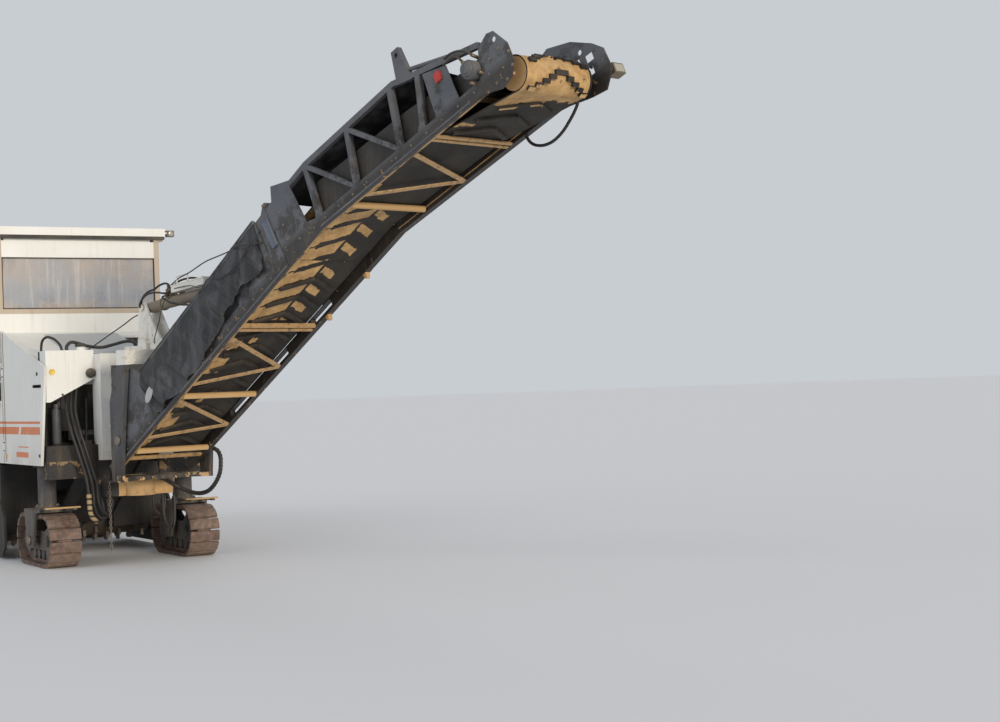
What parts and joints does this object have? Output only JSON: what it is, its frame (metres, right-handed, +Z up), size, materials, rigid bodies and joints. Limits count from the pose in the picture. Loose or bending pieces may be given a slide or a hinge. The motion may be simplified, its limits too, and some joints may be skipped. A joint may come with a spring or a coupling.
{
  "type": "cold planer milling machine",
  "caption": "Road cold planer on four steerable track units, with a milling drum under its middle and a slewing, folding front loading conveyor.",
  "frame": {"origin": "on the ground on the machine's centre line, midway between the front and rear steering columns", "axes": "+X forward, +Y to the machine's left, +Z up"},
  "size_m": [13.8613, 3.5087, 5.0034],
  "materials": {
    "white_paint": "worn cream paint with orange stripes",
    "slate_paint": "worn dark slate paint, dusty",
    "black_frame": "dusty black paint",
    "drum_steel": "scoured and dusty steel",
    "dusty_steel": "tan dust over steel",
    "bright_rod": "polished, dusty",
    "track_steel": "rusty and dusty",
    "belt_rubber": "tan dust on black rubber",
    "hose_rubber": "dusty black hose",
    "beige_paint": "dull beige paint",
    "dirty_glass": "dusty glass",
    "black_plastic": "matt",
    "tarpaulin": "creased black cover"
  },
  "bodies": {
    "root": {"chassis": "black_frame", "portal": "white_paint", "drum_housing": "black_frame", "primary_conveyor": "slate_paint", "primary_belt": "belt_rubber", "nose": "white_paint", "front_tanks": "white_paint", "platform": "white_paint", "canopy_posts": "beige_paint", "canopy_roof": "white_paint", "windscreen": "dirty_glass", "consoles": "black_plastic", "seats": "black_plastic", "ladders": "black_frame", "engine_block": "drum_steel", "engine_bay": "white_paint", "radiator_grille": "black_frame", "hoses": "hose_rubber"},
    "drum": {"milling_drum": "drum_steel"},
    "scraper": {"scraper_door": "black_frame"},
    "side_guard_right": {"side_plate_right": "black_frame"},
    "side_guard_left": {"side_plate_left": "black_frame"},
    "unit_fr": {"leg_fr": "slate_paint", "track_fr": "track_steel"},
    "unit_fl": {"leg_fl": "slate_paint", "track_fl": "track_steel"},
    "unit_rr": {"leg_rr": "slate_paint", "track_rr": "track_steel"},
    "unit_rl": {"leg_rl": "slate_paint", "track_rl": "track_steel"},
    "flap_right": {"door_right": "white_paint"},
    "flap_left": {"door_left": "white_paint"},
    "hood": {"engine_hood": "white_paint", "exhaust": "black_frame"},
    "slew": {"slew_frame": "slate_paint"},
    "barrel": {"lift_barrel": "dusty_steel"},
    "rod": {"lift_rod": "bright_rod"},
    "lower": {"lower_frame": "slate_paint", "lower_belt": "belt_rubber", "lower_rollers": "dusty_steel", "tarp": "tarpaulin"},
    "upper": {"upper_frame": "slate_paint", "upper_belt": "belt_rubber", "upper_rollers": "dusty_steel", "work_lamps": "black_plastic"}
  },
  "joints": [
    {"name": "drum_spin", "type": "hinge", "parent": "root", "child": "drum", "pos_m": [0, 0, 0.56], "axis": [0, 1, 0], "continuous": true},
    {"name": "scraper_swing", "type": "hinge", "parent": "root", "child": "scraper", "pos_m": [-0.68, 0, 1.06], "axis": [0, 1, 0], "range_deg": [0, 80]},
    {"name": "side_guard_right_lift", "type": "slide", "parent": "root", "child": "side_guard_right", "axis": [0, 0, 1], "range_m": [0, 0.25]},
    {"name": "side_guard_left_lift", "type": "slide", "parent": "root", "child": "side_guard_left", "axis": [0, 0, 1], "range_m": [0, 0.25]},
    {"name": "steer_fr", "type": "hinge", "parent": "root", "child": "unit_fr", "pos_m": [1.95, -0.835, 0.7], "axis": [0, 0, 1], "range_deg": [-20, 20]},
    {"name": "steer_fl", "type": "hinge", "parent": "root", "child": "unit_fl", "pos_m": [1.95, 0.835, 0.7], "axis": [0, 0, 1], "range_deg": [-20, 20]},
    {"name": "steer_rr", "type": "hinge", "parent": "root", "child": "unit_rr", "pos_m": [-1.95, -0.835, 0.7], "axis": [0, 0, 1], "range_deg": [-20, 20]},
    {"name": "steer_rl", "type": "hinge", "parent": "root", "child": "unit_rl", "pos_m": [-1.95, 0.835, 0.7], "axis": [0, 0, 1], "range_deg": [-20, 20]},
    {"name": "door_right_swing", "type": "hinge", "parent": "root", "child": "flap_right", "pos_m": [0.81, -1.024, 1.7], "axis": [0, 0, -1], "range_deg": [0, 110]},
    {"name": "door_left_swing", "type": "hinge", "parent": "root", "child": "flap_left", "pos_m": [0.81, 1.024, 1.7], "axis": [0, 0, 1], "range_deg": [0, 110]},
    {"name": "hood_swing", "type": "hinge", "parent": "root", "child": "hood", "pos_m": [-1.045, 0, 2.955], "axis": [0, 1, 0], "range_deg": [0, 40]},
    {"name": "conveyor_slew", "type": "hinge", "parent": "root", "child": "slew", "pos_m": [2.8, 0, 1], "axis": [0, 0, 1], "range_deg": [-52.7, 27.3]},
    {"name": "conveyor_lift", "type": "hinge", "parent": "slew", "child": "lower", "pos_m": [3.33654, 0.12092, 1.45], "axis": [0.2198, -0.9755, 0], "range_deg": [-20, 3]},
    {"name": "conveyor_fold", "type": "hinge", "parent": "lower", "child": "upper", "pos_m": [6.03753, 0.72961, 3.77533], "axis": [0.2198, -0.9755, 0], "range_deg": [0, 160]},
    {"name": "barrel_swing", "type": "hinge", "parent": "slew", "child": "barrel", "pos_m": [3.12583, 0.07343, 2.937], "axis": [0.2198, -0.9755, 0], "range_deg": [-18, 3]},
    {"name": "rod_slide", "type": "slide", "parent": "barrel", "child": "rod", "axis": [0.9716, 0.219, 0.0892], "range_m": [-0.09, 0.53]}
  ],
  "couplings": [
    {"joint": "steer_fl", "follows": "steer_fr", "ratio": 1},
    {"joint": "steer_rl", "follows": "steer_rr", "ratio": 1},
    {"joint": "barrel_swing", "follows": "conveyor_lift", "ratio": 0.885},
    {"joint": "rod_slide", "follows": "conveyor_lift", "m_per_rad": -1.475}
  ]
}
